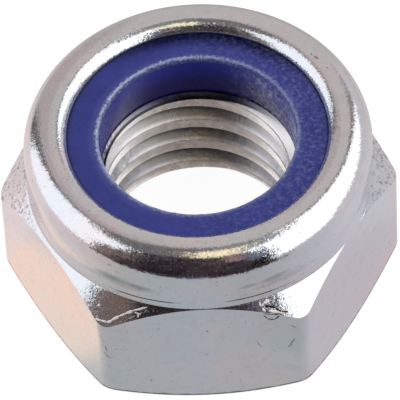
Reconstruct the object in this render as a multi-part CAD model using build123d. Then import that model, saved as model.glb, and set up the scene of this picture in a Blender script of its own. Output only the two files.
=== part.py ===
from build123d import *
import math
import os

# Hexagon lock nut M8 x 1.25 with a nylon ring, low form, width across flats 13 mm.
# Millimetres. Z is the thread axis, the bearing face lies on Z = 0, and two flats face +Y and -Y.
# A steel body is cold formed in one piece, and its collar is rolled over a moulded nylon ring.

# Hexagon
ACROSS_FLATS = 13.0
EDGE_ROUND = 0.7            # radius of the six upright edges
HEX_HEIGHT = 5.28           # from the bearing face to the foot of the collar
BEARING_INSET = 0.04        # the bearing face ends this far inside the flats
BOTTOM_CHAMFER_ANGLE = 33.0
TOP_CHAMFER_ANGLE = 42.5    # both are measured from the horizontal

# Collar, outside
COLLAR_HEIGHT = 2.6         # from the foot to the crown
FOOT_INSET = 0.05           # the foot of the collar stands this far inside the flats
WAIST_HEIGHT = 0.97         # hollow stretch of the wall, from the foot up
FLARE_ANGLE = 3.4           # above it the wall leans out by this angle, up to the rolled crown
CROWN_INSET = 0.03          # the rolled crown stands this far inside the flats
CROWN_ROUND = 1.0           # outer radius of the rolled crown
CROWN_FLAT = 0.13           # level ring on top of the crown

# Rolled lip
LIP_REACH = 1.63            # from the outside of the crown in to the edge of the lip
LIP_END_ANGLE = 20.0        # slope at which the round of the lip runs out
LIP_THICKNESS = 0.25        # height of its blunt edge
LIP_UNDER_ANGLE = 10.0      # its underside rises outwards by this angle

# Bore and ring seat
METAL_HEIGHT = 5.5          # steel below the ring, which holds the thread
COLLAR_WALL = 1.1           # wall between the ring and the outside of the crown
THREAD_CREST_DIAMETER = 6.912
BOTTOM_SINK_DIAMETER = 8.75
BOTTOM_SINK_DEPTH = 1.2
TOP_SINK_DIAMETER = 7.4
TOP_SINK_ANGLE = 45.0

# Nylon ring
RING_BORE_DIAMETER = 7.32
RING_BELOW_LIP = 0.07       # its top meets the edge of the lip this far down
RING_DISH = 0.06            # its top falls this much towards the bore
RING_EDGE_ROUND = 0.1

# Worked out from the sizes above
flat_r = ACROSS_FLATS / 2
bearing_r = flat_r - BEARING_INSET
foot_r = flat_r - FOOT_INSET
crown_r = flat_r - CROWN_INSET
bar_r = flat_r / math.cos(math.radians(30))
crown_z = HEX_HEIGHT + COLLAR_HEIGHT
waist_z = HEX_HEIGHT + WAIST_HEIGHT
roll_r = crown_r - CROWN_ROUND
roll_z = crown_z - CROWN_ROUND
lip_r = crown_r - LIP_REACH
lip_round = (LIP_REACH - CROWN_ROUND - CROWN_FLAT) / math.cos(math.radians(LIP_END_ANGLE))
lip_top_z = crown_z - lip_round * (1 - math.sin(math.radians(LIP_END_ANGLE)))
lip_under_z = lip_top_z - LIP_THICKNESS
groove_r = crown_r - COLLAR_WALL
groove_top_z = lip_under_z + (groove_r - lip_r) * math.tan(math.radians(LIP_UNDER_ANGLE))
crest_r = THREAD_CREST_DIAMETER / 2
bottom_sink_r = BOTTOM_SINK_DIAMETER / 2
top_sink_r = TOP_SINK_DIAMETER / 2
top_sink_z = METAL_HEIGHT - (top_sink_r - crest_r) * math.tan(math.radians(TOP_SINK_ANGLE))
ring_r = RING_BORE_DIAMETER / 2
ring_lip_z = lip_top_z - RING_BELOW_LIP
ring_top_z = ring_lip_z - RING_DISH


def chamfer_rise(angle, start_r):
    """Height that a chamfer cone gains from its start circle out to the corner circle of the hexagon."""
    return (bar_r - start_r) * math.tan(math.radians(angle))


def hexagon_side():
    """Outline of the hexagon's length from the bearing face, over both chamfers, to the collar's foot."""
    bottom_rise = chamfer_rise(BOTTOM_CHAMFER_ANGLE, bearing_r)
    top_fall = chamfer_rise(TOP_CHAMFER_ANGLE, foot_r)
    return Polyline(
        (bottom_sink_r, 0),
        (bearing_r, 0),
        (bar_r, bottom_rise),
        (bar_r, HEX_HEIGHT - top_fall),
        (foot_r, HEX_HEIGHT),
    )


def collar_outside():
    """Rolled crown, the wall that leans in below it, and the hollow that runs out to the foot."""
    crown = CenterArc((roll_r, roll_z), CROWN_ROUND, -FLARE_ANGLE, 90 + FLARE_ANGLE)
    flare_top = crown @ 0
    flare_bottom = (flare_top.X - (flare_top.Y - waist_z) * math.tan(math.radians(FLARE_ANGLE)), waist_z)
    flare = Line(flare_top, flare_bottom)
    hollow = TangentArc(flare_bottom, (foot_r, HEX_HEIGHT), tangent=flare % 1)
    return hollow + flare + crown


def rolled_lip():
    """Level top of the crown, the round of the lip and its blunt edge."""
    inner_r = roll_r - CROWN_FLAT
    top = Line((roll_r, crown_z), (inner_r, crown_z))
    turn = CenterArc((inner_r, crown_z - lip_round), lip_round, 90, 90 - LIP_END_ANGLE)
    edge = Line((lip_r, lip_top_z), (lip_r, lip_under_z))
    return top + turn + edge


def seat_and_bore():
    """Underside of the lip, the ring's seat, and the bore at the thread's crests with both countersinks."""
    return Polyline(
        (lip_r, lip_under_z),
        (groove_r, groove_top_z),
        (groove_r, METAL_HEIGHT),
        (top_sink_r, METAL_HEIGHT),
        (crest_r, top_sink_z),
        (crest_r, BOTTOM_SINK_DEPTH),
        (bottom_sink_r, 0),
    )


def make_nut_body():
    """Turned half section spun round the thread axis, then cut to the rounded hexagonal bar."""
    outline = hexagon_side() + collar_outside() + rolled_lip() + seat_and_bore()
    section = make_face(Plane.XZ * outline)
    turned = revolve(section, axis=Axis.Z)
    hexagon = RegularPolygon(flat_r, 6, major_radius=False)
    bar = extrude(fillet(hexagon.vertices(), EDGE_ROUND), crown_z)
    return turned & bar


def make_nylon_ring():
    """Moulded ring that fills the groove of the collar and stands inside the edge of the lip."""
    outline = Polyline(
        (ring_r, METAL_HEIGHT),
        (groove_r, METAL_HEIGHT),
        (groove_r, groove_top_z),
        (lip_r, lip_under_z),
        (lip_r, ring_lip_z),
        (ring_r, ring_top_z),
        close=True,
    )
    flat_section = make_face(outline)
    bore_edge = flat_section.vertices().sort_by_distance((ring_r, ring_top_z, 0))[0]
    rounded_section = fillet(bore_edge, RING_EDGE_ROUND)
    return revolve(Plane.XZ * rounded_section, axis=Axis.Z)


os.makedirs("parts", exist_ok=True)
for name, shape in (("nut_body", make_nut_body()), ("nylon_ring", make_nylon_ring())):
    shape.label = name
    export_step(shape, f"parts/{name}.step")
    print(f"{name}: {shape.volume:.1f} mm3, height {shape.bounding_box().size.Z:.2f} mm")
print(f"crown {crown_z:.2f} mm, lip edge {lip_top_z:.2f} mm, thread wall {top_sink_z - BOTTOM_SINK_DEPTH:.2f} mm")
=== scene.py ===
# %% [markdown]
# # A hexagon lock nut with a nylon ring
#
# The real nut is two pieces: a cold-formed, zinc-plated steel body and a moulded nylon ring that the
# body's collar is rolled over. The CAD frame holds both at their real size. Here the steel gets its
# thread, its handling marks and its plating, and the ring gets its torn rim and its scuffs.
# Everything is in metres, with the thread on Z and the bearing face on Z = 0.

# %% Load the frame
from math import cos, pi, radians, sin, tan

import bmesh
import bpy
from mathutils import Matrix, Vector, noise


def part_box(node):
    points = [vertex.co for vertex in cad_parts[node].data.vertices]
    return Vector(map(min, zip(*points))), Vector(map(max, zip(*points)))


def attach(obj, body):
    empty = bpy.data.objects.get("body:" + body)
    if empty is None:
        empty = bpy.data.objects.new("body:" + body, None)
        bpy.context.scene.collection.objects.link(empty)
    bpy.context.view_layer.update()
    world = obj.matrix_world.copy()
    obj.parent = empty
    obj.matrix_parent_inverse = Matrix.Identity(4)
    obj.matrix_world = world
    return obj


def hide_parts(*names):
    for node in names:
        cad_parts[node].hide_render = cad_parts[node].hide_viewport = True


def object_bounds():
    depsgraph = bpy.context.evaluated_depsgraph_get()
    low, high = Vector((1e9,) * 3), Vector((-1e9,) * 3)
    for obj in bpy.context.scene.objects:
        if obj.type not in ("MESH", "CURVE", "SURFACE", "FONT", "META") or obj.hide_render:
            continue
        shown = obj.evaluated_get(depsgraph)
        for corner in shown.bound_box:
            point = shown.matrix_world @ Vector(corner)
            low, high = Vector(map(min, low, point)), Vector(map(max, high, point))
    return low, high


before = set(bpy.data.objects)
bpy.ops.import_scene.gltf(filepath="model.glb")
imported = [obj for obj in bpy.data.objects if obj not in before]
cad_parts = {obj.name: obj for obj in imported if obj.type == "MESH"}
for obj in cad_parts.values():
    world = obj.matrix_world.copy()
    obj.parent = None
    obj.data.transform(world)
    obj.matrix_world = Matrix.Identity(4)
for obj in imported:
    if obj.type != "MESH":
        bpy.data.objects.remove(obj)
cad_low, cad_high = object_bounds()
MM = 0.001
print("frame size in mm:", [round(side / MM, 2) for side in cad_high - cad_low])

# %% [markdown]
# ## Sizes
#
# The flats, the crown and the ring's seat are read from the frame, so that the dressed pieces fill the
# same space. The rest of the section is drawn in millimetres, as a toolmaker would dimension it.

# %% Sizes read from the frame
FLAT_R = cad_high.y
CROWN_Z = cad_high.z
ring_low, ring_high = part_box("nylon_ring")
SEAT_R = ring_high.x
SEAT_Z = ring_low.z
RING_LIP_Z = ring_high.z
print("half across flats", round(FLAT_R / MM, 3), "crown", round(CROWN_Z / MM, 3))

# %% Sizes of the section
BAR_R = FLAT_R / cos(radians(30))
EDGE_ROUND = 0.7 * MM
BEARING_R = FLAT_R - 0.04 * MM
FOOT_R = FLAT_R - 0.05 * MM
FOOT_Z = 5.28 * MM
WAIST_Z = FOOT_Z + 0.42 * MM
WAIST_ROUND = 0.9 * MM
FOOT_LEAN = radians(6.6)
LOW_FLARE = radians(5.5)
FLARE_Z = FOOT_Z + 0.97 * MM
FLARE = radians(3.4)
CROWN_R = FLAT_R - 0.03 * MM
CROWN_ROUND = 1.0 * MM
ROLL_R = CROWN_R - CROWN_ROUND
ROLL_Z = CROWN_Z - CROWN_ROUND
LIP_R = CROWN_R - 1.63 * MM
LIP_TURN = radians(70)
LIP_CENTRE_R = ROLL_R - 0.11 * MM
LIP_ROUND = (LIP_CENTRE_R - LIP_R) / sin(LIP_TURN)
LIP_Z = CROWN_Z - LIP_ROUND * (1 - cos(LIP_TURN))
LIP_THICKNESS = 0.25 * MM
UNDERCUT_Z = LIP_Z - LIP_THICKNESS + (SEAT_R - LIP_R) * tan(radians(10))
BOTTOM_CHAMFER = radians(33)
TOP_CHAMFER = radians(42.5)
PITCH = 1.25 * MM
CREST_R = 3.456 * MM
ROOT_R = 4.0 * MM
PILOT_R = CREST_R - 0.15 * MM
BOTTOM_SINK_R = 4.375 * MM
BOTTOM_SINK_Z = 1.2 * MM
TOP_SINK_R = 3.7 * MM
COLLAR_SHIFT = Vector((0.069, -0.027, 0)) * MM
print("lip edge at", round(LIP_R / MM, 3), "mm, top of the lip's edge at", round(LIP_Z / MM, 3), "mm")

# %% [markdown]
# ## Drawing a section
#
# A turned piece starts as a half section: a chain of edges in the XZ plane. Straight runs are new
# vertices. Round stretches come from the spin operator, which carries the last vertex about the
# centre of the round. A full spin about Z with merging then closes the solid, and its doubles are
# merged before its normals are turned outwards.

# %% Helpers for sections
Z_AXIS = Vector((0, 0, 1))
SECTION_AXIS = Vector((0, -1, 0))
SAME_PLACE = 0.0005 * MM


def start_at(bm, r, z):
    """First vertex of a section."""
    return bm.verts.new((r, 0, z))


def run_to(bm, last, r, z):
    """Straight run from the last vertex of a section to a new one."""
    new = bm.verts.new((r, 0, z))
    bm.edges.new((last, new))
    return new


def turn_about(bm, last, centre_r, centre_z, angle, steps):
    """Round stretch: the last vertex is spun about a centre; a positive angle turns from +X to +Z."""
    made = bmesh.ops.spin(
        bm, geom=[last], cent=(centre_r, 0, centre_z), axis=SECTION_AXIS, angle=angle, steps=steps
    )
    return next(item for item in made["geom_last"] if isinstance(item, bmesh.types.BMVert))


def clean(bm):
    """Merges doubles and turns the faces outwards."""
    bmesh.ops.remove_doubles(bm, verts=bm.verts, dist=SAME_PLACE)
    bmesh.ops.recalc_face_normals(bm, faces=bm.faces)


def revolve_section(bm, steps):
    """Spins the section once round Z into a closed solid."""
    bmesh.ops.spin(
        bm, geom=bm.edges[:], cent=(0, 0, 0), axis=Z_AXIS, angle=2 * pi, steps=steps, use_merge=True
    )
    clean(bm)


# %% Helpers for objects


def new_object(name, bm):
    """Puts a bmesh into a new object at the origin."""
    mesh = bpy.data.meshes.new(name)
    bm.to_mesh(mesh)
    bm.free()
    made = bpy.data.objects.new(name, mesh)
    bpy.context.scene.collection.objects.link(made)
    return made


def drop(obj):
    """Deletes a construction object and its mesh."""
    mesh = obj.data
    bpy.data.objects.remove(obj)
    bpy.data.meshes.remove(mesh)


def apply_modifiers(obj):
    """Replaces the object's mesh by the one its modifiers give."""
    graph = bpy.context.evaluated_depsgraph_get()
    graph.update()
    finished = bpy.data.meshes.new_from_object(obj.evaluated_get(graph))
    finished.name = obj.name
    old = obj.data
    obj.modifiers.clear()
    obj.data = finished
    bpy.data.meshes.remove(old)


def combine(body, tool, operation):
    """Boolean of a closed body with a closed tool, which is then deleted."""
    step = body.modifiers.new(operation.lower(), "BOOLEAN")
    step.operation = operation
    step.solver = "EXACT"
    step.object = tool
    apply_modifiers(body)
    drop(tool)


def report(obj):
    """Prints a piece's size in faces and whether its mesh is closed."""
    bm = bmesh.new()
    bm.from_mesh(obj.data)
    open_edges = sum(1 for edge in bm.edges if not edge.is_manifold)
    print(obj.name, "faces:", len(bm.faces), "open edges:", open_edges, "volume mm3:",
          round(bm.calc_volume() / MM**3, 2))
    bm.free()


# %% [markdown]
# ## The turned blank
#
# The cold former upsets a slug of wire, and its collar starts as a plain cylinder that is rolled
# inwards over the ring. One section holds all of that: the bearing face, both chamfer cones of the
# hexagon, the hollow wall of the collar that leans outwards again, the rolled crown, the blunt lip,
# the groove behind it and a pilot bore that the thread is cut from. The rolling tool never runs quite
# true to the hexagon, so the collar is set off its axis by a few hundredths of a millimetre.

# %% Turned blank
BLANK_STEPS = 288
COLLAR_FROM_Z = 0.8 * FOOT_Z
WAIST_STEPS = 8
CROWN_STEPS = 30
LIP_STEPS = 16


def make_blank():
    bm = bmesh.new()
    flare_top = Vector((ROLL_R + CROWN_ROUND * cos(FLARE), ROLL_Z - CROWN_ROUND * sin(FLARE)))
    waist_r = FOOT_R - (WAIST_Z - FOOT_Z) * tan(FOOT_LEAN)
    first = start_at(bm, BOTTOM_SINK_R, 0)
    v = run_to(bm, first, BEARING_R, 0)
    v = run_to(bm, v, BAR_R, (BAR_R - BEARING_R) * tan(BOTTOM_CHAMFER))
    v = run_to(bm, v, BAR_R, FOOT_Z - (BAR_R - FOOT_R) * tan(TOP_CHAMFER))
    v = run_to(bm, v, FOOT_R, FOOT_Z)
    v = run_to(bm, v, waist_r, WAIST_Z)
    centre = Vector((waist_r + WAIST_ROUND * cos(FOOT_LEAN), WAIST_Z + WAIST_ROUND * sin(FOOT_LEAN)))
    v = turn_about(bm, v, centre.x, centre.y, -FOOT_LEAN - LOW_FLARE, WAIST_STEPS)
    v = run_to(bm, v, flare_top.x - (flare_top.y - FLARE_Z) * tan(FLARE), FLARE_Z)
    v = run_to(bm, v, flare_top.x, flare_top.y)
    v = turn_about(bm, v, ROLL_R, ROLL_Z, pi / 2 + FLARE, CROWN_STEPS)
    v = run_to(bm, v, LIP_CENTRE_R, CROWN_Z)
    v = turn_about(bm, v, LIP_CENTRE_R, CROWN_Z - LIP_ROUND, LIP_TURN, LIP_STEPS)
    v = run_to(bm, v, LIP_R, LIP_Z - LIP_THICKNESS)
    v = run_to(bm, v, SEAT_R, UNDERCUT_Z)
    v = run_to(bm, v, SEAT_R, SEAT_Z)
    v = run_to(bm, v, TOP_SINK_R, SEAT_Z)
    v = run_to(bm, v, PILOT_R, SEAT_Z - (TOP_SINK_R - PILOT_R))
    v = run_to(bm, v, PILOT_R, BOTTOM_SINK_Z * (BOTTOM_SINK_R - PILOT_R) / (BOTTOM_SINK_R - CREST_R))
    bm.edges.new((v, first))
    revolve_section(bm, BLANK_STEPS)
    collar = [vert for vert in bm.verts if vert.co.z > COLLAR_FROM_Z and vert.co.xy.length > ROOT_R]
    bmesh.ops.translate(bm, verts=collar, vec=COLLAR_SHIFT)
    return bm


# %% [markdown]
# ## Cutting the hexagon
#
# The blank's two cones become the corner chamfers once the flats are cut. Each flat is one bisecting
# plane. The rounded upright edges are a few more planes, each tangent to the edge's round, and every
# cut is filled again before the next one, so the solid stays closed.

# %% Cut the flats and the rounded upright edges
ROUND_CUTS = 9
ON_PLANE = 0.0001 * MM


def cut_flat(bm, angle, distance):
    """Cuts off what lies beyond an upright plane and closes the cut."""
    outwards = Vector((cos(angle), sin(angle), 0))
    made = bmesh.ops.bisect_plane(
        bm, geom=bm.verts[:] + bm.edges[:] + bm.faces[:], dist=ON_PLANE,
        plane_co=outwards * distance, plane_no=outwards, clear_outer=True
    )
    rim = [item for item in made["geom_cut"] if isinstance(item, bmesh.types.BMEdge) and item.is_boundary]
    bmesh.ops.holes_fill(bm, edges=rim, sides=0)


def cut_hexagon(bm):
    for side in range(6):
        cut_flat(bm, radians(30 + 60 * side), FLAT_R)
    centre = (FLAT_R - EDGE_ROUND) / cos(radians(30))
    for corner in range(6):
        for cut in range(ROUND_CUTS):
            lean = radians(-30 + 60 * (cut + 1) / (ROUND_CUTS + 1))
            cut_flat(bm, radians(60 * corner) + lean, centre * cos(lean) + EDGE_ROUND)
    clean(bm)


# %% [markdown]
# ## The thread
#
# A tap cuts a right-handed thread of 1.25 mm pitch. The tap is modelled instead of the groove: one
# pitch of its section is spun eight turns round the axis while the spin's own step lifts it, so each
# turn meets the next. Its ends are drawn in to a point, clear of the steel, and a Boolean takes it
# out of the blank.

# %% Tap
TURNS = 8
TAP_STEPS = 96
CREST_FLAT = 0.465 * MM
ROOT_FLAT = 0.157 * MM
FLANK_RISE = (PITCH - CREST_FLAT - ROOT_FLAT) / 2
THREAD_ROUND = 0.04 * MM
TAP_START_ANGLE = radians(90)
TAP_START_Z = 3.82 * MM - 5 * PITCH
TAP_MERGE = 0.001 * MM


def close_to_axis(bm, rim, z):
    """Draws an open rim in to one point of the axis."""
    made = bmesh.ops.extrude_edge_only(bm, edges=rim)
    tip = [item for item in made["geom"] if isinstance(item, bmesh.types.BMVert)]
    bmesh.ops.pointmerge(bm, verts=tip, merge_co=(0, 0, z))


def make_tap():
    bm = bmesh.new()
    start = start_at(bm, CREST_R, TAP_START_Z)
    v = run_to(bm, start, CREST_R, TAP_START_Z + CREST_FLAT / 2)
    v = run_to(bm, v, ROOT_R, v.co.z + FLANK_RISE)
    v = run_to(bm, v, ROOT_R, v.co.z + ROOT_FLAT)
    v = run_to(bm, v, CREST_R, v.co.z + FLANK_RISE)
    end = run_to(bm, v, CREST_R, TAP_START_Z + PITCH)
    corners = [vert for vert in bm.verts if vert not in (start, end)]
    bmesh.ops.bevel(
        bm, geom=corners, offset=THREAD_ROUND, segments=4, profile=0.5, affect="VERTICES", material=-1
    )
    bmesh.ops.rotate(bm, verts=bm.verts, matrix=Matrix.Rotation(TAP_START_ANGLE, 3, "Z"))
    bmesh.ops.spin(
        bm, geom=bm.edges[:], cent=(0, 0, 0), axis=Z_AXIS, angle=2 * pi * TURNS,
        steps=TURNS * TAP_STEPS, dvec=(0, 0, PITCH / TAP_STEPS)
    )
    bmesh.ops.remove_doubles(bm, verts=bm.verts, dist=TAP_MERGE)
    middle = TAP_START_Z + PITCH * (TURNS + 1) / 2
    rim = [edge for edge in bm.edges if edge.is_boundary]
    for upper in (False, True):
        open_end = [edge for edge in rim if (edge.verts[0].co.z > middle) == upper]
        close_to_axis(bm, open_end, TAP_START_Z + PITCH * (TURNS + 2) if upper else TAP_START_Z - PITCH)
    clean(bm)
    return bm


# %% Build the steel body
blank = make_blank()
cut_hexagon(blank)
steel_nut = new_object("steel_nut", blank)
report(steel_nut)
tap = new_object("tap", make_tap())
report(tap)
combine(steel_nut, tap, "DIFFERENCE")
report(steel_nut)

# %% [markdown]
# ## Edges
#
# The steel's edges are crisp at this size, so they stay as the cutters leave them and are only marked
# sharp for the shading. The nylon's rounds are in its section. Weighted Normal keeps wide faces flat
# while narrow rounds take the shading of the turn. The Boolean leaves slivers where the thread runs
# out into the countersinks, and they are merged first.

# %% Edges
SHARP_TURN = radians(28)
FLAT_FACE_WEIGHT = 60


def shade_smooth(obj):
    for face in obj.data.polygons:
        face.use_smooth = True


def weight_normals(obj):
    weight = obj.modifiers.new("flat faces first", "WEIGHTED_NORMAL")
    weight.mode = "FACE_AREA"
    weight.weight = FLAT_FACE_WEIGHT
    weight.keep_sharp = True


def drop_slivers(obj):
    """Merges vertices that lie in one place, and drops the empty faces between them."""
    bm = bmesh.new()
    bm.from_mesh(obj.data)
    bmesh.ops.dissolve_degenerate(bm, dist=SAME_PLACE, edges=bm.edges)
    clean(bm)
    bm.to_mesh(obj.data)
    bm.free()


drop_slivers(steel_nut)
shade_smooth(steel_nut)
steel_nut.data.set_sharp_from_angle(angle=SHARP_TURN)
weight_normals(steel_nut)
report(steel_nut)

# %% [markdown]
# ## The nylon ring
#
# The ring is moulded, dropped into the collar and held by the rolled lip. Its top is dished a little
# and a ragged burr stands round the rim of its bore. The section is spun like the steel's, with close
# rows at the rim, and a noise that runs round the bore then pulls the burr out of those rows.

# %% Nylon ring
RING_BORE_R = 3.66 * MM
RING_TOP_Z = RING_LIP_Z - 0.06 * MM
LIP_EDGE_BREAK = 0.03 * MM
LIP_EDGE_DROP = 0.02 * MM
RIM_ROUND = 0.1 * MM
RIM_STEPS = 8
TOP_ROWS = 16
WALL_ROWS = 10
RING_STEPS = 420


def make_ring():
    bm = bmesh.new()
    first = start_at(bm, RING_BORE_R, SEAT_Z)
    v = run_to(bm, first, SEAT_R, SEAT_Z)
    v = run_to(bm, v, SEAT_R, UNDERCUT_Z)
    v = run_to(bm, v, LIP_R, LIP_Z - LIP_THICKNESS)
    v = run_to(bm, v, LIP_R, RING_LIP_Z - LIP_EDGE_DROP)
    outer = LIP_R - LIP_EDGE_BREAK
    inner = RING_BORE_R + RIM_ROUND
    v = run_to(bm, v, outer, RING_LIP_Z)
    for row in range(1, TOP_ROWS + 1):
        share = row / TOP_ROWS
        v = run_to(bm, v, outer + (inner - outer) * share, RING_LIP_Z + (RING_TOP_Z - RING_LIP_Z) * share)
    v = turn_about(bm, v, inner, RING_TOP_Z - RIM_ROUND, pi / 2, RIM_STEPS)
    depth = RING_TOP_Z - RIM_ROUND - SEAT_Z
    for row in range(1, WALL_ROWS):
        v = run_to(bm, v, RING_BORE_R, SEAT_Z + depth * (1 - row / WALL_ROWS))
    bm.edges.new((v, first))
    revolve_section(bm, RING_STEPS)
    return bm


# %% Burr round the ring's bore
BURR_HEIGHT = 0.035 * MM
BURR_REACH = 2 * RIM_ROUND
BURR_R = RING_BORE_R + 0.3 * RIM_ROUND
COARSE = 0.22 * MM
FINE = 0.08 * MM


def raise_burr(bm):
    """Lifts the rim of the bore by a ragged noise, most of all in the middle of its round."""
    for vert in bm.verts:
        away = Vector((vert.co.xy.length - BURR_R, vert.co.z - RING_TOP_Z)).length
        if away < BURR_REACH:
            ragged = max(0.0, noise.noise(vert.co / COARSE) + 0.5 * noise.noise(vert.co / FINE))
            vert.co.z += BURR_HEIGHT * ragged * (1 - away / BURR_REACH)


ring = make_ring()
raise_burr(ring)
bmesh.ops.translate(ring, verts=ring.verts, vec=COLLAR_SHIFT)
lock_ring = new_object("lock_ring", ring)
shade_smooth(lock_ring)
report(lock_ring)

# %% [markdown]
# ## Node helpers
#
# Every finish below is a small node tree. The first helpers make one node, set its options and either
# write a value into each socket or link another node's output to it. The others are the few steps that
# the finishes repeat: a pattern, a ramp, a mix, a sum.

# %% Make and feed a node


def feed(tree, socket, value):
    """Links another node's output to a socket, or writes a plain value into it."""
    if isinstance(value, bpy.types.NodeSocket):
        tree.links.new(value, socket)
    elif value is not None:
        socket.default_value = (*value, 1) if socket.type == "RGBA" else value


def node(tree, kind, sockets=None, **options):
    made = tree.nodes.new(kind)
    for name, value in options.items():
        setattr(made, name, value)
    for name, value in (sockets or {}).items():
        feed(tree, made.inputs[name], value)
    return made


def new_material(name):
    """Empty node material: returns it, its tree and its output node."""
    made = bpy.data.materials.new(name)
    made.use_nodes = True
    made.node_tree.nodes.clear()
    output = made.node_tree.nodes.new("ShaderNodeOutputMaterial")
    return made, made.node_tree, output


# %% Places and patterns


def millimetres(tree, scale=(1, 1, 1)):
    """Object coordinates in millimetres, stretched for a pattern."""
    place = node(tree, "ShaderNodeTexCoord").outputs["Object"]
    size = tuple(factor / MM for factor in scale)
    return node(tree, "ShaderNodeMapping", {"Vector": place, "Scale": size}).outputs["Vector"]


def noise_of(tree, vector, scale, detail=2.0, roughness=0.5):
    return node(tree, "ShaderNodeTexNoise", {"Vector": vector, "Scale": scale, "Detail": detail,
                                             "Roughness": roughness}).outputs["Fac"]


def between(tree, value, low, high, to_low=0.0, to_high=1.0):
    """Straight ramp of a value between two limits, held level outside them."""
    return node(tree, "ShaderNodeMapRange", {"Value": value, "From Min": low, "From Max": high,
                                             "To Min": to_low, "To Max": to_high}).outputs["Result"]


def colour_ramp(tree, factor, stops):
    """Colour that changes with a factor; each stop is a position and a colour."""
    made = node(tree, "ShaderNodeValToRGB", {"Fac": factor})
    elements = made.color_ramp.elements
    first, *inner, last = stops
    for element, (position, colour) in zip(elements, (first, last)):
        element.position = position
        element.color = (*colour, 1)
    for position, colour in inner:
        elements.new(position).color = (*colour, 1)
    return made.outputs["Color"]


# %% Sums and mixes


def arithmetic(tree, operation, first, second=0.0):
    made = node(tree, "ShaderNodeMath", operation=operation)
    for socket, value in zip(made.inputs, (first, second)):
        feed(tree, socket, value)
    return made.outputs[0]


def times(tree, first, second):
    return arithmetic(tree, "MULTIPLY", first, second)


def plus(tree, first, second):
    return arithmetic(tree, "ADD", first, second)


def minus(tree, first, second):
    return arithmetic(tree, "SUBTRACT", first, second)


def largest(tree, first, second):
    return arithmetic(tree, "MAXIMUM", first, second)


def vector_step(tree, operation, first, second=None, scale=None):
    """One vector operation; returns its vector and its value."""
    made = node(tree, "ShaderNodeVectorMath", operation=operation)
    for socket, value in ((made.inputs[0], first), (made.inputs[1], second), (made.inputs[3], scale)):
        feed(tree, socket, value)
    return made.outputs[0], made.outputs[1]


def mixed(tree, factor, first, second):
    """First colour where the factor is nothing, second where it is one."""
    made = node(tree, "ShaderNodeMix", data_type="RGBA")
    for socket, value in ((made.inputs[0], factor), (made.inputs[6], first), (made.inputs[7], second)):
        feed(tree, socket, value)
    return made.outputs[2]


def mixed_value(tree, factor, first, second):
    """First value where the factor is nothing, second where it is one."""
    made = node(tree, "ShaderNodeMix", data_type="FLOAT")
    for socket, value in ((made.inputs[0], factor), (made.inputs[2], first), (made.inputs[3], second)):
        feed(tree, socket, value)
    return made.outputs[0]


def laid_over(tree, colour, mask, tint, strength=1.0):
    """Colour with a tint laid over it where the mask is one."""
    return mixed(tree, times(tree, mask, strength) if strength < 1 else mask, colour, tint)


# %% Distances on the nut


def axes_of(tree, place):
    """The three coordinates of a place, each by itself."""
    split = node(tree, "ShaderNodeSeparateXYZ", {"Vector": place})
    return split.outputs["X"], split.outputs["Y"], split.outputs["Z"]


def from_collar_axis(tree, place):
    """Place measured from the collar's own axis."""
    return vector_step(tree, "SUBTRACT", place, tuple(COLLAR_SHIFT / MM))[0]


def level_part(tree, place):
    """Place with its height left out."""
    return vector_step(tree, "MULTIPLY", place, (1, 1, 0))[0]


def radius_of(tree, place):
    """Distance of a place from the upright axis it is measured from."""
    return vector_step(tree, "LENGTH", level_part(tree, place))[1]


# %% [markdown]
# ## Marks
#
# Handling leaves short nicks in the soft plating. A nick is a slender ellipsoid laid between two points
# of the surface: the Mapping node squeezes it into a ball, the spherical gradient measures that ball,
# and a noise frays its outline. The mask then turns the normal and changes the colour. The nicks sit
# on the two corner chamfers at the front and just below them, where a loose nut is struck first.

# %% Masks for marks
NICK_LENGTH = 0.56
NICK_SPREAD = 1.3
NICK_EDGE = 0.35
REFLECTION_EDGE = 0.7


def nick_mask(tree, place, start, end, width):
    """Nearness to a slender ellipsoid laid between two points: one in its middle, nothing outside."""
    along = Vector(end) - Vector(start)
    thick = NICK_SPREAD * width
    shape = node(tree, "ShaderNodeMapping", {
        "Vector": place, "Location": (Vector(start) + Vector(end)) / 2,
        "Rotation": along.to_track_quat("X", "Z").to_euler(),
        "Scale": (along.length * NICK_LENGTH, thick, thick)}, vector_type="TEXTURE")
    return node(tree, "ShaderNodeTexGradient", {"Vector": shape.outputs["Vector"]},
                gradient_type="SPHERICAL").outputs["Fac"]


def nicks_mask(tree, place, nicks, edge=NICK_EDGE):
    """Largest of several nick masks, sharpened; each is folded in at once."""
    total = nick_mask(tree, place, *nicks[0])
    for nick in nicks[1:]:
        total = largest(tree, total, nick_mask(tree, place, *nick))
    return between(tree, total, 0.0, edge)


def window(tree, value, middle, half, edge):
    """One where a value lies within half of the middle, with edges as soft as given."""
    away = arithmetic(tree, "ABSOLUTE", minus(tree, value, middle))
    return between(tree, away, half - edge, half + edge, 1.0, 0.0)
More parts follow.
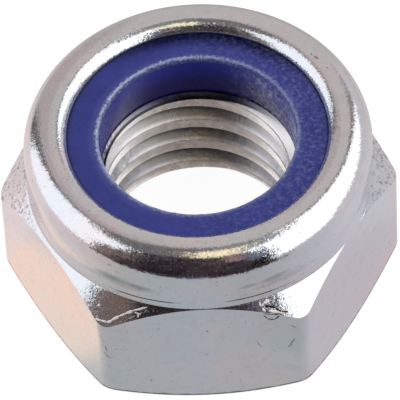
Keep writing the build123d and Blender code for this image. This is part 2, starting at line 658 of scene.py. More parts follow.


# %% Where the nicks and the painted wall reflections lie
BRIGHT_NICKS = (
    ((-3.96, -6.11, 4.48), (-3.72, -6.24, 4.52), 0.034),
    ((-3.74, -6.23, 4.52), (-3.50, -6.34, 4.54), 0.030),
    ((-3.52, -6.34, 4.53), (-3.32, -6.34, 4.62), 0.034),
    ((-3.36, -6.33, 4.62), (-3.03, -6.27, 4.80), 0.044),
    ((-3.06, -6.27, 4.79), (-2.76, -6.25, 4.92), 0.030),
    ((-2.80, -6.25, 4.90), (-2.54, -6.23, 5.02), 0.044),
    ((-2.56, -6.23, 5.02), (-2.00, -6.22, 5.20), 0.030),
    ((-2.51, -6.27, 5.00), (-2.26, -6.39, 4.99), 0.018),
    ((-2.36, -6.35, 4.98), (-2.37, -6.45, 4.89), 0.024),
    ((-3.82, -5.78, 4.83), (-3.76, -5.76, 4.87), 0.036),
    ((2.15, -6.34, 5.09), (2.26, -6.23, 5.16), 0.036),
    ((2.24, -6.24, 5.15), (2.45, -6.13, 5.19), 0.056),
    ((2.08, -6.22, 5.22), (2.15, -6.35, 5.09), 0.028),
    ((2.18, -6.38, 5.06), (2.29, -6.47, 4.95), 0.036),
    ((2.40, -6.42, 4.93), (2.84, -6.42, 4.80), 0.046),
    ((2.80, -6.42, 4.80), (3.02, -6.42, 4.74), 0.030),
)
# Dents and dark scratches, and painted shadow lines under some raised nicks, such as the one below the long
# bright nick on the left.
DARK_NICKS_AND_SHADOWS = (
    ((2.37, -6.28, 5.09), (2.36, -6.36, 5.01), 0.085),
    ((2.40, -6.30, 5.06), (2.66, -6.32, 4.95), 0.046),
    ((2.66, -6.32, 4.95), (2.87, -6.41, 4.80), 0.040),
    ((2.87, -6.40, 4.81), (3.13, -6.37, 4.74), 0.040),
    ((2.20, -6.50, 4.86), (2.83, -6.50, 4.76), 0.026),
    ((2.22, -6.50, 4.76), (2.38, -6.50, 4.54), 0.030),
    ((2.36, -6.50, 4.55), (2.64, -6.50, 4.49), 0.034),
    ((2.62, -6.50, 4.49), (2.84, -6.50, 4.72), 0.030),
    ((-3.11, -6.42, 4.62), (-2.50, -6.38, 4.90), 0.024),
    ((-2.30, -6.36, 5.02), (-2.05, -6.30, 5.13), 0.030),
    ((-3.30, -6.50, 3.10), (-2.95, -6.50, 3.00), 0.013),
    ((0.10, -6.50, 4.02), (0.16, -6.50, 3.88), 0.022),
    ((-0.10, -6.50, 2.62), (0.14, -6.50, 2.50), 0.016),
    ((1.95, -6.50, 3.15), (2.10, -6.50, 2.85), 0.020),
    ((3.18, -6.50, 4.11), (3.40, -6.49, 3.95), 0.028),
    ((3.38, -6.49, 3.36), (3.15, -6.50, 2.89), 0.034),
    ((3.26, -6.50, 2.95), (3.06, -6.50, 2.78), 0.026),
    ((-3.66, -6.43, 3.30), (-3.58, -6.45, 2.86), 0.030),
    ((-3.70, -6.40, 2.84), (-3.51, -6.48, 2.52), 0.026),
    ((-2.08, -6.50, 1.14), (-2.02, -6.50, 1.02), 0.024),
    ((4.38, 3.36, 7.88), (4.46, 3.16, 7.88), 0.030),
    ((4.52, 3.14, 7.88), (4.68, 2.97, 7.88), 0.045),
    ((4.93, 2.62, 7.87), (5.00, 2.50, 7.86), 0.030),
)
# Painted reflections: two lens-shaped patches on the collar wall, where its hollow mirrors the dark chamfers
# below.
PAINTED_WALL_REFLECTIONS = (
    ((-3.85, -5.12, 6.22), (-2.70, -5.83, 6.14), 0.20),
    ((-2.95, -5.70, 6.15), (-1.70, -6.22, 6.09), 0.15),
)
PALE_PAINTED_WALL_REFLECTIONS = (
    ((1.30, -6.34, 6.22), (2.20, -6.09, 6.22), 0.10),
    ((2.00, -6.15, 6.22), (3.30, -5.60, 6.33), 0.15),
)

# %% [markdown]
# ## Zinc plate
#
# Bright zinc is a mirror with a short memory: it shows the studio sharply but with frayed edges,
# because the plated grain tilts the surface a degree or two over a few hundredths of a millimetre.
# A metallic shader with low roughness and two shallow bumps gives that. The colour drifts between
# warm, pink, blue and a little green, as the clear passivation over zinc does. Down the bore the plate
# is thinner and the tap has torn it, so the thread is duller, rougher and browner.

# %% Normals of the plating
GRAINS = ((24.0, 0.30), (38.0, 0.26))
MIDDLE_GREY = (0.5, 0.5, 0.5)


def tipped(tree, outwards, amount):
    """Surface normal leaned outwards and down: the face mirrors the room as if it were steeper."""
    lean, _ = vector_step(tree, "NORMALIZE", outwards)
    lean, _ = vector_step(tree, "ADD", lean, (0, 0, -1))
    lean, _ = vector_step(tree, "SCALE", lean, scale=amount)
    return vector_step(tree, "ADD", node(tree, "ShaderNodeNewGeometry").outputs["Normal"], lean)[0]


def spangled(tree, place, normal, amount):
    """Normal of a plated surface whose small grains each lean their own way, a few of them far."""
    for scale, lean in GRAINS:
        grains = node(tree, "ShaderNodeTexVoronoi", {"Vector": place, "Scale": scale},
                      voronoi_dimensions="3D")
        around, _ = vector_step(tree, "SUBTRACT", grains.outputs["Color"], MIDDLE_GREY)
        square, _ = vector_step(tree, "MULTIPLY", around, around)
        heavy, _ = vector_step(tree, "MULTIPLY", square, around)
        heavy, _ = vector_step(tree, "SCALE", heavy, scale=times(tree, amount, lean))
        normal, _ = vector_step(tree, "ADD", normal, heavy)
    return vector_step(tree, "NORMALIZE", normal)[0]


# %% Zinc: where things are
CHAMFER_CONE = (FOOT_Z + FOOT_R * tan(TOP_CHAMFER)) / MM
CHAMFER_TIP = 0.076

zinc_plate, tree, zinc_output = new_material("zinc_plate")
place = millimetres(tree)
x, y, height = axes_of(tree, place)
side = arithmetic(tree, "ABSOLUTE", x)
radius = radius_of(tree, place)
collar_place = from_collar_axis(tree, place)
collar_radius = radius_of(tree, collar_place)
in_bore = between(tree, radius, 4.3, 4.5, 1.0, 0.0)
behind = between(tree, y, 1.2, 3.4)
sink = times(tree, between(tree, height, 5.24, 5.27), in_bore)
lip = times(tree, window(tree, collar_radius, 5.05, 0.30, 0.08), between(tree, height, 7.3, 7.45))
# Painted shade: a dark line on the lip's edge where it meets the nylon.
seam_shade = times(tree, between(tree, collar_radius, 4.85, 4.87, 0.55, 0.0), between(tree, height, 7.2, 7.3))
cone = plus(tree, height, times(tree, collar_radius, tan(TOP_CHAMFER)))
on_chamfer = times(tree, between(tree, height, 5.2, 5.32, 1.0, 0.0),
                   between(tree, cone, CHAMFER_CONE - 0.06, CHAMFER_CONE - 0.03))

# %% [markdown]
# The nicks and the painted wall reflections are laid in their places, and the nicks are read through a
# place that a noise shakes a little. Some dark nicks are painted shadow below raised nicks. A crease near
# the foot of the collar, a shallow groove with a painted shade line, shows over the two front corners only.

# %% Zinc: masks of the marks
FRAY = 0.055

fray = node(tree, "ShaderNodeTexNoise", {"Vector": place, "Scale": 14.0, "Detail": 2.0})
shaken, _ = vector_step(tree, "SUBTRACT", fray.outputs["Color"], MIDDLE_GREY)
shaken, _ = vector_step(tree, "SCALE", shaken, scale=FRAY)
frayed, _ = vector_step(tree, "ADD", place, shaken)
bright = nicks_mask(tree, frayed, BRIGHT_NICKS)
dark_nicks_and_shadows = nicks_mask(tree, frayed, DARK_NICKS_AND_SHADOWS)
strength = times(tree, between(tree, height, 4.3, 4.6, 0.55, 1.0), between(tree, height, 6.0, 7.0, 1.0, 0.5))
dark_marks_and_shadows = times(tree, dark_nicks_and_shadows, strength)
wall_reflection = nicks_mask(tree, place, PAINTED_WALL_REFLECTIONS, REFLECTION_EDGE)
pale_wall_reflection = nicks_mask(tree, place, PALE_PAINTED_WALL_REFLECTIONS, REFLECTION_EDGE)
# Painted shade: a dark line along a shallow crease at the foot of the collar.
shaded_crease = window(tree, minus(tree, height, times(tree, side, -0.022)), 5.575, 0.012, 0.012)
shaded_crease = times(tree, shaded_crease, window(tree, side, 2.1, 1.1, 0.35))
shaded_crease = times(tree, shaded_crease, between(tree, y, -5.2, -5.4))
print("marks:", len(BRIGHT_NICKS) + len(DARK_NICKS_AND_SHADOWS), "nicks,", len(PAINTED_WALL_REFLECTIONS) + len(PALE_PAINTED_WALL_REFLECTIONS), "painted_reflections")

# %% [markdown]
# The plating's own colour comes first, then smudges and specks, the rubbed chamfers at the two sides,
# a darkening along the lower rim, and painted shade in the line where the lip meets the nylon.

# %% Zinc: colour outside
ZINC_TINTS = ((0.36, (0.745, 0.785, 0.795)), (0.5, (0.78, 0.78, 0.80)), (0.64, (0.825, 0.775, 0.76)))
SMUDGE_TINT = (0.60, 0.60, 0.61)
SPECK_TINT = (0.27, 0.25, 0.24)
RUBBED_TINT = (0.25, 0.24, 0.29)
RIM_DARK_AND_SEAM_SHADE_TINT = (0.07, 0.065, 0.07)
WALL_REFLECTION_TINT = (0.33, 0.43, 0.41)
PALE_WALL_REFLECTION_TINT = (0.42, 0.49, 0.49)

colour = colour_ramp(tree, noise_of(tree, place, 0.42, 3.0, 0.6), ZINC_TINTS)
smudge = between(tree, noise_of(tree, place, 2.4, 5.0, 0.65), 0.52, 0.72)
colour = laid_over(tree, colour, smudge, SMUDGE_TINT, 0.35)
specks = between(tree, noise_of(tree, place, 5.0, 4.0, 0.75), 0.63, 0.685)
colour = laid_over(tree, colour, specks, SPECK_TINT, 0.6)
rubbed = between(tree, noise_of(tree, place, 6.0, 4.0, 0.7), 0.51, 0.64)
rubbed = times(tree, times(tree, rubbed, on_chamfer), between(tree, side, 5.4, 6.3, 0.0, 0.8))
colour = laid_over(tree, colour, rubbed, RUBBED_TINT)
bottom_cone = times(tree, minus(tree, radius, BEARING_R / MM), tan(BOTTOM_CHAMFER))
hem = minus(tree, height, bottom_cone)
hem = plus(tree, hem, times(tree, noise_of(tree, place, 3.5, 5.0, 0.7), -0.22))
# Darker along the lower rim, and painted shade in the seam under the lip.
rim_dark_and_seam_shade = largest(tree, between(tree, hem, -0.06, 0.0, 0.75, 0.0), seam_shade)
colour = laid_over(tree, colour, rim_dark_and_seam_shade, RIM_DARK_AND_SEAM_SHADE_TINT)
# Painted reflection of the chamfers in the collar wall, laid over the plate's colour.
colour = laid_over(tree, colour, wall_reflection, WALL_REFLECTION_TINT, 0.75)
colour = laid_over(tree, colour, pale_wall_reflection, PALE_WALL_REFLECTION_TINT, 0.75)

# %% [markdown]
# The bore is browner, with painted light that pales its two sides, and painted shade in the grooves behind,
# in the countersink under the ring and along the top of the thread. The crease with its painted shade and
# the nicks go over everything.

# %% Zinc: colour of the bore and the marks
BORE_COLOURS = ((0.36, (0.60, 0.53, 0.47)), (0.62, (0.82, 0.77, 0.73)))
BORE_SIDE_LIGHT_TINT = (0.97, 0.955, 0.95)
GROOVE_SHADE_TINT = (0.10, 0.095, 0.075)
SINK_SHADE_TINT = (0.035, 0.032, 0.065)
THREAD_TOP_SHADE_TINT = (0.02, 0.018, 0.02)
CREASE_SHADE_TINT = (0.16, 0.16, 0.17)
DARK_NICK_AND_SHADOW_TINT = (0.06, 0.05, 0.05)
BRIGHT_NICK_TINT = (0.86, 0.80, 0.77)

torn = noise_of(tree, place, 3.2, 6.0, 0.7)
colour = mixed(tree, in_bore, colour, colour_ramp(tree, torn, BORE_COLOURS))
# Painted light: the thread's two sides are paled towards white.
sides = times(tree, between(tree, side, 0.8, 2.8), in_bore)
colour = laid_over(tree, colour, sides, BORE_SIDE_LIGHT_TINT, 0.85)
# Painted shade in the thread's grooves behind.
shaded_groove = times(tree, between(tree, radius, 3.49, 3.62), in_bore)
colour = laid_over(tree, colour, times(tree, shaded_groove, behind), GROOVE_SHADE_TINT, 0.7)
# Painted shade: the countersink under the ring is darkened behind.
colour = laid_over(tree, colour, times(tree, sink, behind), SINK_SHADE_TINT)
# Painted shade: a near-black line along the top edge of the thread, under the ring.
thread_top_shade_line = times(tree, window(tree, height, 5.295, 0.04, 0.015), between(tree, radius, 3.60, 3.66, 1.0, 0.0))
colour = laid_over(tree, colour, thread_top_shade_line, THREAD_TOP_SHADE_TINT, 0.9)
# Painted shade of the crease.
colour = laid_over(tree, colour, shaded_crease, CREASE_SHADE_TINT, 0.8)
# Dents, dark scratches and painted shadow under raised nicks darken the plate.
colour = laid_over(tree, colour, dark_marks_and_shadows, DARK_NICK_AND_SHADOW_TINT)
colour = laid_over(tree, colour, bright, BRIGHT_NICK_TINT)

# %% [markdown]
# Loose zinc grains scatter light, so they are less metallic than the plate: a pale bloom, thickest on
# the burnished lip. The torn thread and the bright nicks scatter too, and are rougher.

# %% Zinc: bloom, roughness and metal
bloom = between(tree, noise_of(tree, place, 13.0, 4.0, 0.72), 0.54, 0.70)
thick = largest(tree, between(tree, height, 7.3, 7.75, 0.12, 0.34), times(tree, on_chamfer, 0.22))
bloom = times(tree, bloom, mixed_value(tree, lip, thick, 0.42))
bloom = plus(tree, bloom, times(tree, lip, 0.03))
bare = largest(tree, in_bore, between(tree, height, 4.2, 4.4, 1.0, 0.0))
bloom = times(tree, bloom, minus(tree, 1.0, bare))
bloom = times(tree, bloom, minus(tree, 1.0, largest(tree, dark_nicks_and_shadows, seam_shade)))
roughness = between(tree, noise_of(tree, place, 1.6, 4.0, 0.6), 0.3, 0.7, 0.07, 0.15)
roughness = plus(tree, roughness, times(tree, in_bore, between(tree, side, 0.9, 2.4, 0.15, 0.07)))
roughness = minus(tree, roughness, times(tree, sink, 0.14))
roughness = largest(tree, roughness, times(tree, bright, 0.5))
thread = minus(tree, in_bore, sink)
scatter = times(tree, thread, between(tree, side, 0.9, 2.4, 0.52, 0.30))
metallic = minus(tree, 1.0, times(tree, bright, 0.75))
metallic = minus(tree, metallic, plus(tree, scatter, bloom))
metallic = between(tree, metallic, 0.0, 1.0)

# %% [markdown]
# Relief in millimetres is fine grain, a slow wave, the torn thread, and the nicks and crease. Single
# grains lean further on the lip behind. The chamfers mirror the room as if they were a little steeper.

# %% Zinc: relief and surface
grain = noise_of(tree, place, 11.0, 3.0, 0.65)
wave = noise_of(tree, place, 2.6, 2.0, 0.5)
relief = times(tree, grain, between(tree, on_chamfer, 0.0, 1.0, 0.0035, 0.0045))
relief = plus(tree, relief, times(tree, wave, 0.008))
relief = plus(tree, relief, times(tree, times(tree, torn, in_bore), 0.018))
relief = plus(tree, relief, times(tree, bright, 0.008))
relief = minus(tree, relief, times(tree, dark_marks_and_shadows, 0.02))
relief = minus(tree, relief, times(tree, shaded_crease, 0.01))
grain_lean = between(tree, on_chamfer, 0.0, 1.0, 1.3, 1.15)
grain_lean = plus(tree, grain_lean, times(tree, lip, between(tree, y, 3.6, 4.6, 0.9, 0.1)))
grain_lean = minus(tree, grain_lean, times(tree, in_bore, 1.1))
normal = tipped(tree, level_part(tree, collar_place), times(tree, on_chamfer, CHAMFER_TIP))
bump = node(tree, "ShaderNodeBump", {"Height": relief, "Strength": 1.0, "Distance": MM,
                                     "Normal": spangled(tree, place, normal, grain_lean)})
surface = node(tree, "ShaderNodeBsdfPrincipled", {
    "Base Color": colour, "Metallic": metallic, "Roughness": roughness, "Normal": bump.outputs["Normal"]})
tree.links.new(surface.outputs["BSDF"], zinc_output.inputs["Surface"])
steel_nut.data.materials.clear()
steel_nut.data.materials.append(zinc_plate)
print(zinc_plate.name, "nodes:", len(tree.nodes))

# %% [markdown]
# ## Nylon
#
# Deep blue moulded nylon is satin, a little brighter where it has been rubbed, and almost white where the
# rim is torn; a painted highlight of the rim's rounded edge lies over the torn band. The wall of the bore is
# a purer blue, with painted shade that darkens it deeper down behind and near its foot, and a near-black
# band of painted shade where it sits on the steel. At the back the top lies in the painted shade of the lip.
# Scuffs lie thickest towards +X.

# %% Nylon: blue, shade and scuffs
BLUE = (0.022, 0.029, 0.195)
LIGHTER_BLUE = (0.028, 0.035, 0.225)
WALL_BLUE = (0.020, 0.026, 0.30)
DEEP_SHADE_BLUE = (0.015, 0.012, 0.115)
SEAT_SHADE_TINT = (0.006, 0.006, 0.02)
SHADE_TINT = (0.003, 0.004, 0.045)
SCUFF_TINT = (0.62, 0.66, 0.86)

blue_nylon, tree, nylon_output = new_material("blue_nylon")
place = millimetres(tree)
x, y, height = axes_of(tree, place)
radius = radius_of(tree, from_collar_axis(tree, place))
wall = between(tree, height, 7.1, 7.3, 1.0, 0.0)
colour = mixed(tree, between(tree, noise_of(tree, place, 0.8, 3.0), 0.35, 0.65), BLUE, LIGHTER_BLUE)
colour = laid_over(tree, colour, wall, WALL_BLUE)
# Painted shade: the bore wall darkens deeper down behind and near its foot.
deep_shade = times(tree, between(tree, height, 7.05, 6.1), between(tree, y, 0.0, 2.8))
deep_shade = largest(tree, deep_shade, between(tree, height, 5.78, 5.56))
colour = laid_over(tree, colour, deep_shade, DEEP_SHADE_BLUE)
# Painted shade: a near-black band where the ring sits on the steel.
colour = laid_over(tree, colour, between(tree, height, 5.56, 5.50), SEAT_SHADE_TINT)
shade = between(tree, plus(tree, y, times(tree, x, 0.15)), 2.9, 4.3)
shade = times(tree, shade, between(tree, radius, 4.2, 4.66))
colour = laid_over(tree, colour, shade, SHADE_TINT)
top_scuffs = times(tree, between(tree, x, -1.0, 4.0, 0.02, 0.16), between(tree, height, 7.2, 7.3))
wall_scuffs = times(tree, times(tree, wall, between(tree, x, 1.2, 3.0, 0.0, 5.0)), 0.14)
scuff = between(tree, noise_of(tree, place, 5.5, 6.0, 0.75), 0.47, 0.68)
scuff = times(tree, scuff, plus(tree, top_scuffs, wall_scuffs))
colour = laid_over(tree, colour, scuff, SCUFF_TINT)

# %% [markdown]
# The torn rim of the bore, whitish where torn and with a painted highlight of its rounded edge, is a ragged
# band behind, and in front a white fringe that thickens to the edge. Both are painted brighter towards -X.

# %% Nylon: torn rim
TORN_RIM_AND_HIGHLIGHT_TINT = (0.50, 0.57, 0.82)

uneven = times(tree, minus(tree, noise_of(tree, place, 9.0, 5.0, 0.75), 0.5), 0.45)
middle = plus(tree, 3.735, times(tree, y, 0.008))
away = arithmetic(tree, "ABSOLUTE", minus(tree, radius, middle))
# Painted highlight: a band along the rim's rounded edge, ragged by noise.
rim_highlight_band = between(tree, plus(tree, away, uneven), 0.0, 0.11, 1.0, 0.0)
fringe = between(tree, plus(tree, radius, uneven), 3.66, 3.90, 1.0, 0.0)
fringe = arithmetic(tree, "POWER", fringe, 1.6)
# Here torn holds the torn rim together with the painted highlight of its rounded edge.
torn = mixed_value(tree, between(tree, y, -1.6, 0.2), fringe, rim_highlight_band)
whiteness = times(tree, between(tree, x, -3.4, 1.0, 0.95, 0.50), between(tree, x, 1.0, 3.0, 1.0, 0.7))
on_top = between(tree, height, 7.19, 7.27)
torn = times(tree, times(tree, torn, whiteness), on_top)
# A faint painted highlight just inside the rim, stronger towards -X.
rubbed = times(tree, between(tree, radius, 3.75, 4.12, 0.075, 0.0), between(tree, x, -3.5, 0.5, 1.0, 0.35))
white = largest(tree, torn, times(tree, rubbed, on_top))
colour = laid_over(tree, colour, white, TORN_RIM_AND_HIGHLIGHT_TINT)

# %% Nylon: roughness, shine and surface
roughness = between(tree, noise_of(tree, place, 3.0, 3.0), 0.3, 0.7, 0.3, 0.42)
roughness = minus(tree, roughness, times(tree, wall, 0.1))
top_shine = times(tree, minus(tree, 1.0, wall), between(tree, shade, 0.0, 1.0, 0.42, 0.08))
shine = mixed_value(tree, wall, top_shine, between(tree, y, 0.5, 3.2, 0.6, 0.10))
relief = plus(tree, times(tree, noise_of(tree, place, 8.0, 4.0), 0.003), times(tree, torn, 0.03))
bump = node(tree, "ShaderNodeBump", {"Height": relief, "Strength": 1.0, "Distance": MM})
surface = node(tree, "ShaderNodeBsdfPrincipled", {
    "Base Color": colour, "Roughness": roughness, "Specular IOR Level": shine,
    "Normal": bump.outputs["Normal"]})
tree.links.new(surface.outputs["BSDF"], nylon_output.inputs["Surface"])
lock_ring.data.materials.append(blue_nylon)
print(blue_nylon.name, "nodes:", len(tree.nodes))

# %% [markdown]
# ## Into the frame
#
# Each piece rides the frame's one body and stands in the place of its CAD solid, which is hidden.

# %% Hand the pieces to the frame
for piece, cad_node, slot in ((steel_nut, "nut_body", "zinc_steel"), (lock_ring, "nylon_ring", "nylon")):
    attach(piece, "root")
    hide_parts(cad_node)
    print(piece.name, "stands for", cad_node)

# %% [markdown]
# ## The studio
#
# Mirror-like metal is only as good as what stands round it. Two tall soft boxes stand left and right,
# a grey wall at the back, a dim ceiling above, and black card with a warm lamp field over it on the
# camera's side. These cards are seen by reflections only. Two lamps in the same places light the
# nylon and the floor, and the background stays white.

# %% Cards
EYE_Z = 7.0 * MM


def glow(name, tint):
    """Self-lit card material of one colour, or of the colours that a texture function makes."""
    material, tree, output = new_material(name)
    light = node(tree, "ShaderNodeEmission", {"Color": tint(tree) if callable(tint) else tint})
    tree.links.new(light.outputs["Emission"], output.inputs["Surface"])
    material.cycles.emission_sampling = "NONE"
    return material


def only_reflected(piece, material):
    """Hides a card from all but reflections and puts it on the stage."""
    piece.data.materials.append(material)
    piece.visible_camera = False
    piece.visible_diffuse = False
    piece.visible_shadow = False
    piece.visible_transmission = False
    print("stage:", piece.name)


def card(name, centre, size, facing, material):
    """Flat card in millimetres whose front looks along facing."""
    bm = bmesh.new()
    bmesh.ops.create_grid(bm, x_segments=1, y_segments=1, size=0.5)
    bmesh.ops.scale(bm, vec=(size[0] * MM, size[1] * MM, 1), verts=bm.verts)
    turn = Vector(facing).to_track_quat("Z", "Y").to_matrix()
    bmesh.ops.rotate(bm, verts=bm.verts, matrix=turn)
    bmesh.ops.translate(bm, verts=bm.verts, vec=Vector(centre) * MM)
    only_reflected(new_object(name, bm), material)


def on_compass(azimuth, distance, height):
    """Point in a compass direction: 0 is the camera's side, 90 is +X."""
    return Vector((distance * sin(radians(azimuth)), -distance * cos(radians(azimuth)), height))


def screen(name, azimuths, lows, highs, distance, material):
    """Upright curved card between two directions; its edges are given as elevations at each end."""
    bm = bmesh.new()
    bmesh.ops.create_grid(bm, x_segments=32, y_segments=1, size=0.5)
    for vert in bm.verts:
        share = vert.co.x + 0.5
        edges = lows if vert.co.y < 0 else highs
        elevation = edges[0] + (edges[1] - edges[0]) * share
        azimuth = azimuths[0] + (azimuths[1] - azimuths[0]) * share
        vert.co = on_compass(azimuth, distance * MM, EYE_Z + distance * MM * tan(radians(elevation)))
    only_reflected(new_object(name, bm), material)


# %% Streaks for the dark cards
STREAK_STOPS = (0.38, 0.5, 0.66)


def streaked(tints, scale, squash):
    """Texture function: upright streaks between three colours."""
    def colours(tree):
        place = millimetres(tree, (scale, scale, squash))
        return colour_ramp(tree, noise_of(tree, place, 1.0, 3.0, 0.6), zip(STREAK_STOPS, tints))
    return colours


# %% Reflected room
GAP_TINTS = ((0.10, 0.085, 0.08), (0.20, 0.17, 0.165), (0.34, 0.31, 0.31))
DARK_TINTS = ((0.006, 0.005, 0.009), (0.028, 0.018, 0.022), (0.085, 0.064, 0.070))
BROWN_TINTS = ((0.09, 0.065, 0.062), (0.18, 0.135, 0.125), (0.28, 0.22, 0.20))

screen("box_left", (-127, -48), (-4, -4), (64, 56), 190, glow("box_bluish", (1.12, 1.14, 1.21)))
screen("box_right", (34, 143), (-4, -4), (64, 72), 200, glow("box_white", (1.42, 1.44, 1.47)))
screen("sweep_right", (80, 150), (6, 26), (-40, -40), 150, glow("sweep_lilac", (0.62, 0.60, 0.65)))
screen("wall_back", (141, 190), (-12, -12), (80, 80), 210, glow("wall_grey", (0.58, 0.53, 0.52)))
screen("wall_back_left", (190, 230), (-12, -12), (80, 80), 210, glow("wall_brown", (0.50, 0.42, 0.42)))
gap_streaks = glow("gap_brown", streaked(GAP_TINTS, 0.05, 0.01))
screen("gap_left", (-139, -126), (-6, -6), (70, 70), 180, gap_streaks)
screen("gap_right", (139, 151), (18, 24), (70, 70), 180, gap_streaks)

# %% Reflected ceiling and cards near the nut
card("ceiling_left", (-400, 0, 640), (800, 1600), (0, 0, -1), glow("ceiling_dim", (0.16, 0.145, 0.15)))
card("ceiling_right", (400, 0, 640), (800, 1600), (0, 0, -1), glow("ceiling_grey", (0.245, 0.24, 0.25)))
dark_streaks = glow("card_black", streaked(DARK_TINTS, 0.5, 0.05))
card("card_front", (-5, -27, 24.5), (52, 49), (0, 1, 0), dark_streaks)
card("card_front_top", (-8.5, -27, 54), (45, 10), (0, 1, 0), dark_streaks)
# Painted shadow: a dark strip on the table in front, where the black card's shadow falls.
card("table_shadow_card", (-11.5, -23.5, 0.02), (65, 8), (0, 0, 1), dark_streaks)
brown_streaks = glow("card_brown", streaked(BROWN_TINTS, 0.3, 0.1))
card("card_brown_low", (-37, -26.9, 17.25), (18, 34.5), (0, 1, 0), brown_streaks)
card("card_brown_high", (-24.25, -26.8, 29), (7.5, 30), (0, 1, 0), brown_streaks)
warm_glow = glow("lamp_cream", (1.22, 1.07, 0.72))
card("field_warm", (4.75, -16, 59), (14.5, 22), (0, 0, -1), warm_glow)
card("strip_warm", (5.5, -26.9, 54.5), (13, 9), (0, 1, 0), warm_glow)
card("streak_pink", (9, -26.8, 34), (4, 24), (0, 1, 0), glow("streak_pink", (0.39, 0.25, 0.25)))
card("streak_grey", (15, -26.8, 27), (5, 22), (0, 1, 0), glow("streak_grey", (0.16, 0.18, 0.26)))
card("strip_table", (-1.3, -23.4, 0.04), (8, 8), (0, 0, 1), glow("strip_grey", (0.09, 0.098, 0.125)))

# %% [markdown]
# The sheet that the nut stands on is only seen by reflections too. It is a flat ring round the nut that
# glows by itself: its tint is the paper's light and shade painted in, and it changes round the compass as
# the coloured walls of a studio tint white paper. The disc under the bore is painted shade.

# %% Tints round the compass
NEAR_TINTS = (
    (-100, (0.96, 0.80, 0.74)), (-75, (1.03, 0.79, 0.69)), (-50, (0.92, 0.77, 0.68)),
    (-42, (0.62, 0.61, 0.60)), (-30, (0.46, 0.47, 0.49)), (0, (0.47, 0.48, 0.51)),
    (30, (0.47, 0.48, 0.50)), (42, (0.60, 0.56, 0.60)), (80, (0.60, 0.55, 0.60)),
    (110, (0.66, 0.62, 0.66)), (148, (0.70, 0.68, 0.70)), (162, (1.30, 1.30, 1.30)),
    (200, (1.30, 1.30, 1.30)), (214, (1.00, 0.93, 0.90)),
)
FAR_TINTS = (
    (-120, (0.89, 0.76, 0.76)), (-90, (0.83, 0.71, 0.72)), (-60, (0.66, 0.60, 0.60)),
    (-42, (0.50, 0.49, 0.48)), (-25, (0.45, 0.47, 0.49)), (0, (0.46, 0.48, 0.51)),
    (25, (0.43, 0.44, 0.46)), (45, (0.52, 0.51, 0.55)), (75, (0.63, 0.61, 0.66)),
    (110, (0.68, 0.66, 0.69)), (140, (0.62, 0.59, 0.60)), (162, (0.46, 0.42, 0.42)),
    (200, (0.52, 0.47, 0.46)), (214, (0.70, 0.64, 0.62)),
)
WIDE_TINTS = tuple((azimuth, tint) for azimuth, tint in FAR_TINTS if azimuth < 120) + (
    (150, (0.52, 0.49, 0.49)), (214, (0.52, 0.48, 0.47)),
)
BORE_SHADE_TINTS = (
    (-120, (0.40, 0.35, 0.32)), (-60, (0.40, 0.36, 0.33)), (0, (0.36, 0.31, 0.28)),
    (60, (0.48, 0.45, 0.44)), (120, (0.45, 0.42, 0.40)), (180, (0.37, 0.33, 0.30)),
)
RIM_TINTS = (
    (-120, (1.10, 1.08, 1.06)), (-60, (0.90, 0.88, 0.86)), (0, (0.50, 0.47, 0.45)),
    (60, (0.90, 0.88, 0.88)), (120, (1.20, 1.18, 1.18)), (180, (1.30, 1.28, 1.26)),
)


# %% Reflected floor
SHEET_Z = 0.01 * MM
SHEET_STEPS = 96


def tints_round(stops):
    """Texture function: colours that change round the compass."""
    def colours(tree):
        place = node(tree, "ShaderNodeTexCoord").outputs["Object"]
        turn = node(tree, "ShaderNodeTexGradient", {"Vector": place}, gradient_type="RADIAL")
        placed = sorted(((azimuth / 360 + 0.25) % 1.0, tint) for azimuth, tint in stops)
        closed = [(0.0, placed[0][1]), *placed, (1.0, placed[-1][1])]
        return colour_ramp(tree, turn.outputs["Fac"], closed)
    return colours


def sheet(name, inner_r, outer_r, stops):
    """Flat ring round the thread axis, or a disc when the inner radius is nothing."""
    bm = bmesh.new()
    run_to(bm, start_at(bm, inner_r * MM, SHEET_Z), outer_r * MM, SHEET_Z)
    revolve_section(bm, SHEET_STEPS)
    only_reflected(new_object(name, bm), glow(name, tints_round(stops)))


# Painted shade: the disc under the bore is darker than the paper round the nut.
sheet("sheet_bore", 0, 2.7, BORE_SHADE_TINTS)
sheet("sheet_bore_rim", 2.7, 4.3, RIM_TINTS)
sheet("sheet_near", 6.3, 9, NEAR_TINTS)
sheet("sheet_far", 9, 40, FAR_TINTS)
sheet("sheet_wide", 40, 250, WIDE_TINTS)

# %% [markdown]
# Two lamps stand where the bright screens are, and a pale floor and a white world close the studio.

# %% Lamps for the nylon and the floor
LAMP_DISTANCE = 0.3


def lamp(name, azimuth, elevation, width, height, radiance):
    """Rectangular soft lamp that looks at the nut and is not mirrored."""
    light = bpy.data.lights.new(name, "AREA")
    light.shape = "RECTANGLE"
    light.size = width
    light.size_y = height
    light.energy = radiance * pi * width * height
    made = bpy.data.objects.new(name, light)
    direction = on_compass(azimuth, cos(radians(elevation)), sin(radians(elevation)))
    made.location = direction * LAMP_DISTANCE
    made.rotation_euler = (-direction).to_track_quat("-Z", "Y").to_euler()
    made.visible_camera = False
    made.visible_glossy = False
    bpy.context.scene.collection.objects.link(made)
    print(name, round(light.energy, 2), "W")


lamp("lamp_left", -95, 32, 0.26, 0.3, 2.2)
lamp("lamp_right", 88, 35, 0.34, 0.36, 2.15)

# %% Floor
FLOOR_HALF = 2.0
FLOOR_Z = -0.005 * MM
PAPER_TINT = (0.8, 0.8, 0.8)
WHITE = (1, 1, 1)
FLOOR_GLOW = 1.12
GLOW_SHARE = 0.85

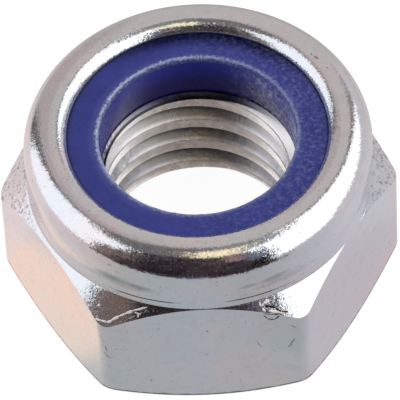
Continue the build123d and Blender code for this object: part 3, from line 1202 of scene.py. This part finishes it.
bm = bmesh.new()
bmesh.ops.create_grid(bm, x_segments=1, y_segments=1, size=FLOOR_HALF)
bmesh.ops.translate(bm, verts=bm.verts, vec=(0, 0, FLOOR_Z))
floor = new_object("floor", bm)
pale_floor, tree, floor_output = new_material("pale_floor")
rays = node(tree, "ShaderNodeLightPath")
paper = node(tree, "ShaderNodeBsdfDiffuse", {"Color": PAPER_TINT})
glowing = node(tree, "ShaderNodeEmission", {"Color": WHITE, "Strength": FLOOR_GLOW})
share = times(tree, largest(tree, rays.outputs["Is Camera Ray"], rays.outputs["Is Glossy Ray"]), GLOW_SHARE)
seen = node(tree, "ShaderNodeMixShader", {0: share, 1: paper.outputs[0], 2: glowing.outputs[0]})
tree.links.new(seen.outputs[0], floor_output.inputs["Surface"])
floor.data.materials.append(pale_floor)

# %% World
WORLD_LIGHT = (0.3, 0.3, 0.3)

world = bpy.data.worlds.new("studio")
world.use_nodes = True
bpy.context.scene.world = world
sky = world.node_tree
sky.nodes.clear()
rays = node(sky, "ShaderNodeLightPath").outputs
seen_directly = largest(sky, rays["Is Camera Ray"],
                        largest(sky, rays["Is Glossy Ray"], rays["Is Transmission Ray"]))
sky_colour = mixed(sky, seen_directly, WORLD_LIGHT, WHITE)
backdrop = node(sky, "ShaderNodeBackground", {"Strength": 1.0, "Color": sky_colour})
node(sky, "ShaderNodeOutputWorld", {"Surface": backdrop.outputs[0]})
print("world nodes:", len(sky.nodes))

# %% [markdown]
# ## Camera
#
# A long lens looks down on the nut at about 52 degrees, from just right of the front flat, and is
# rolled by three degrees.

# %% Camera
ELEVATION = radians(51.68)
AZIMUTH = radians(0.98)
ROLL = radians(3.22)
DISTANCE = 225.15 * MM
AIM = Vector((0.0245, 0.220, 3.233)) * MM
FOCAL_PIXELS = 6000
FRAME_PIXELS = 400
SENSOR = 36.0

towards = Vector((sin(AZIMUTH) * cos(ELEVATION), -cos(AZIMUTH) * cos(ELEVATION), sin(ELEVATION)))
level = (-towards).cross(Z_AXIS).normalized()
upright = level.cross(-towards)
right = level * cos(ROLL) - upright * sin(ROLL)
up = level * sin(ROLL) + upright * cos(ROLL)
lens = bpy.data.cameras.new("camera")
lens.sensor_width = SENSOR
lens.lens = FOCAL_PIXELS / FRAME_PIXELS * SENSOR
lens.clip_start = 0.01
lens.clip_end = 10
camera = bpy.data.objects.new("camera", lens)
bpy.context.scene.collection.objects.link(camera)
turned = Matrix((right, up, towards)).transposed().to_4x4()
camera.matrix_world = Matrix.Translation(AIM + towards * DISTANCE) @ turned
bpy.context.scene.camera = camera
bpy.context.scene.view_settings.view_transform = "Standard"
print("lens", round(lens.lens), "mm, camera at", [round(c / MM, 1) for c in camera.location])
